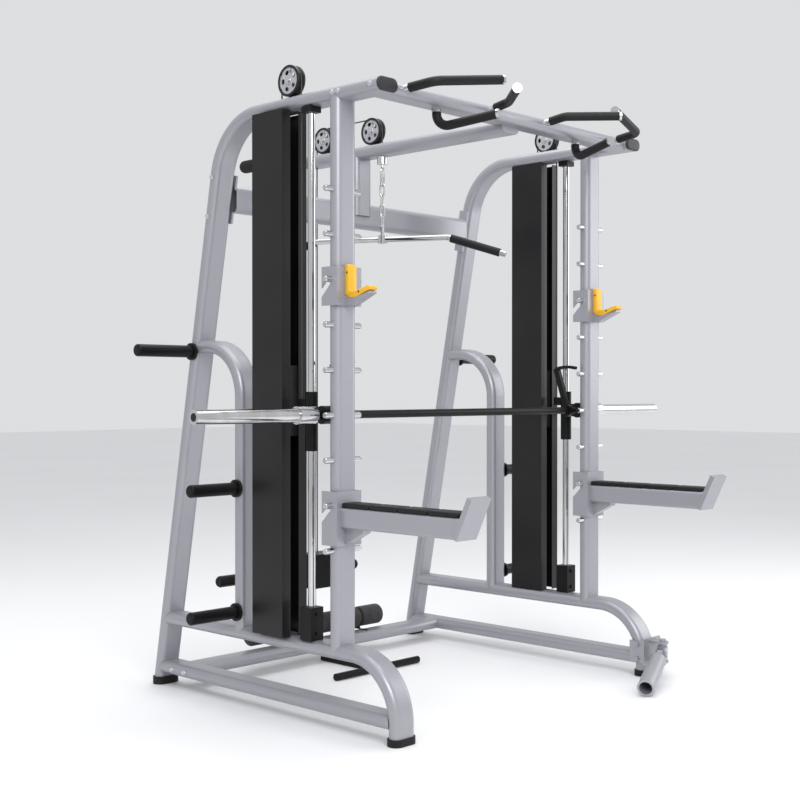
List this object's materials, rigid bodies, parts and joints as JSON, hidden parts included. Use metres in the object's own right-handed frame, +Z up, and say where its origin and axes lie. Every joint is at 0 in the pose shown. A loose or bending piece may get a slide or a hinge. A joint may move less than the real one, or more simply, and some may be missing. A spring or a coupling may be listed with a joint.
{
  "type": "smith machine",
  "caption": "Smith machine with a counterbalanced bar on guide rods, pegs, plate-loaded lat pulldown, J hooks, spotter arms, pull-up handles, plate posts and a landmine.",
  "frame": {"origin": "on the floor, under the middle of the bounding box", "axes": "+X along the bar to the right of someone who faces the machine from its front, -Y is the front, +Z is up"},
  "size_m": [2.714, 1.8299, 2.403],
  "materials": {
    "frame_paint": "silver-grey metallic powder coat, satin",
    "black_paint": "satin black",
    "chrome": "polished",
    "plain_steel": "zinc plated",
    "cast_iron": "painted",
    "black_rubber": "matte",
    "foam": "closed foam, matte",
    "black_plastic": "satin",
    "grey_plastic": "satin",
    "yellow_nylon": "satin",
    "cable": "coated steel cable"
  },
  "bodies": {
    "frame": {"left_rear_leg": "frame_paint", "right_rear_leg": "frame_paint", "left_foot_rail": "frame_paint", "right_foot_rail": "frame_paint", "left_base_rail": "frame_paint", "right_base_rail": "frame_paint", "left_upright": "frame_paint", "right_upright": "frame_paint", "left_post_upright": "frame_paint", "right_post_upright": "frame_paint", "front_crossbar": "frame_paint", "rear_crossbeam": "frame_paint", "rear_base_bar": "frame_paint", "top_spine": "frame_paint", "rubber_feet": "black_rubber", "end_caps": "grey_plastic", "frame_bolts": "chrome", "left_column_cover": "black_plastic", "right_column_cover": "black_plastic", "accessory_peg": "black_rubber", "guide_rods": "chrome", "rod_mounts": "black_paint", "pegs": "chrome", "plate_posts": "black_paint", "pulley_brackets": "plain_steel", "counter_cable_fronts": "cable", "counter_cable_wraps": "cable", "counter_cable_rears": "cable", "lat_cable_front": "cable", "lat_cable_over": "cable", "lat_cable_rear": "cable", "roller_mount": "black_paint", "foot_bar": "black_paint", "pull_up_handles": "chrome", "pull_up_grips": "black_rubber", "landmine_bracket": "frame_paint"},
    "bar_carriage": {"carriages": "black_paint"},
    "bar": {"bar_shaft": "black_paint", "bar_sleeves": "chrome", "bar_hooks": "black_paint"},
    "counterweight": {"counterweights": "cast_iron"},
    "left_pulley": {"left_counter_pulley": "grey_plastic"},
    "right_pulley": {"right_counter_pulley": "grey_plastic"},
    "lat_pulley_front": {"lat_front_pulley": "grey_plastic"},
    "lat_pulley_rear": {"lat_rear_pulley": "grey_plastic"},
    "hanger": {"lat_hanger": "chrome"},
    "pull_bar": {"lat_bar": "chrome", "lat_grips": "black_rubber"},
    "weight_carriage": {"lat_carriage": "black_paint"},
    "roller": {"foam_roller": "foam"},
    "left_hook": {"left_j_hook": "frame_paint", "left_j_liner": "yellow_nylon"},
    "right_hook": {"right_j_hook": "frame_paint", "right_j_liner": "yellow_nylon"},
    "left_arm": {"left_spotter_arm": "frame_paint", "left_spotter_pad": "black_rubber"},
    "right_arm": {"right_spotter_arm": "frame_paint", "right_spotter_pad": "black_rubber"},
    "yoke": {"landmine_yoke": "black_paint"},
    "socket": {"landmine_tube": "chrome"}
  },
  "joints": [
    {"name": "bar_lift", "type": "slide", "parent": "frame", "child": "bar_carriage", "axis": [0, 0, 1], "range_m": [-0.48, 0.48], "deforming": ["counter_cable_fronts"]},
    {"name": "bar_turn", "type": "hinge", "parent": "bar_carriage", "child": "bar", "pos_m": [0, -0.202, 1.12], "axis": [1, 0, 0], "range_deg": [-6, 24]},
    {"name": "counterweight_slide", "type": "slide", "parent": "frame", "child": "counterweight", "axis": [0, 0, 1], "range_m": [-0.48, 0.48], "deforming": ["counter_cable_rears"]},
    {"name": "left_pulley_spin", "type": "hinge", "parent": "frame", "child": "left_pulley", "pos_m": [-0.77, -0.018, 2.345], "axis": [1, 0, 0], "continuous": true},
    {"name": "right_pulley_spin", "type": "hinge", "parent": "frame", "child": "right_pulley", "pos_m": [0.77, -0.018, 2.345], "axis": [1, 0, 0], "continuous": true},
    {"name": "lat_pull", "type": "slide", "parent": "frame", "child": "hanger", "axis": [0, 0, -1], "range_m": [0, 1], "deforming": ["lat_cable_front"]},
    {"name": "lat_swivel", "type": "hinge", "parent": "hanger", "child": "pull_bar", "pos_m": [0, 0.274, 1.85], "axis": [0, 0, 1], "range_deg": [0, 100]},
    {"name": "weight_slide", "type": "slide", "parent": "frame", "child": "weight_carriage", "axis": [0, 0, 1], "range_m": [0, 1], "deforming": ["lat_cable_rear"]},
    {"name": "lat_front_spin", "type": "hinge", "parent": "frame", "child": "lat_pulley_front", "pos_m": [0, 0.328, 2.32], "axis": [1, 0, 0], "continuous": true},
    {"name": "lat_rear_spin", "type": "hinge", "parent": "frame", "child": "lat_pulley_rear", "pos_m": [0, 0.632, 2.32], "axis": [1, 0, 0], "continuous": true},
    {"name": "roller_spin", "type": "hinge", "parent": "frame", "child": "roller", "pos_m": [0, 0.695, 0.155], "axis": [1, 0, 0], "continuous": true},
    {"name": "left_hook_lift", "type": "slide", "parent": "frame", "child": "left_hook", "axis": [0, -0.7071, 0.7071], "range_m": [0, 0.07]},
    {"name": "right_hook_lift", "type": "slide", "parent": "frame", "child": "right_hook", "axis": [0, -0.7071, 0.7071], "range_m": [0, 0.07]},
    {"name": "left_arm_lift", "type": "slide", "parent": "frame", "child": "left_arm", "axis": [0, -0.7071, 0.7071], "range_m": [0, 0.07]},
    {"name": "right_arm_lift", "type": "slide", "parent": "frame", "child": "right_arm", "axis": [0, -0.7071, 0.7071], "range_m": [0, 0.07]},
    {"name": "landmine_swing", "type": "hinge", "parent": "frame", "child": "yoke", "pos_m": [0.76, -0.638, 0.105], "axis": [0, 0, 1], "range_deg": [-10, 110]},
    {"name": "landmine_tilt", "type": "hinge", "parent": "yoke", "child": "socket", "pos_m": [0.70919, -0.65905, 0.105], "axis": [0.3827, -0.9239, 0], "range_deg": [-80, 0]}
  ],
  "couplings": [
    {"joint": "counterweight_slide", "follows": "bar_lift", "ratio": -1},
    {"joint": "left_pulley_spin", "follows": "bar_lift", "rad_per_m": -18.519},
    {"joint": "right_pulley_spin", "follows": "bar_lift", "rad_per_m": -18.519},
    {"joint": "weight_slide", "follows": "lat_pull", "ratio": 1},
    {"joint": "lat_front_spin", "follows": "lat_pull", "rad_per_m": 18.519},
    {"joint": "lat_rear_spin", "follows": "lat_pull", "rad_per_m": 18.519}
  ]
}
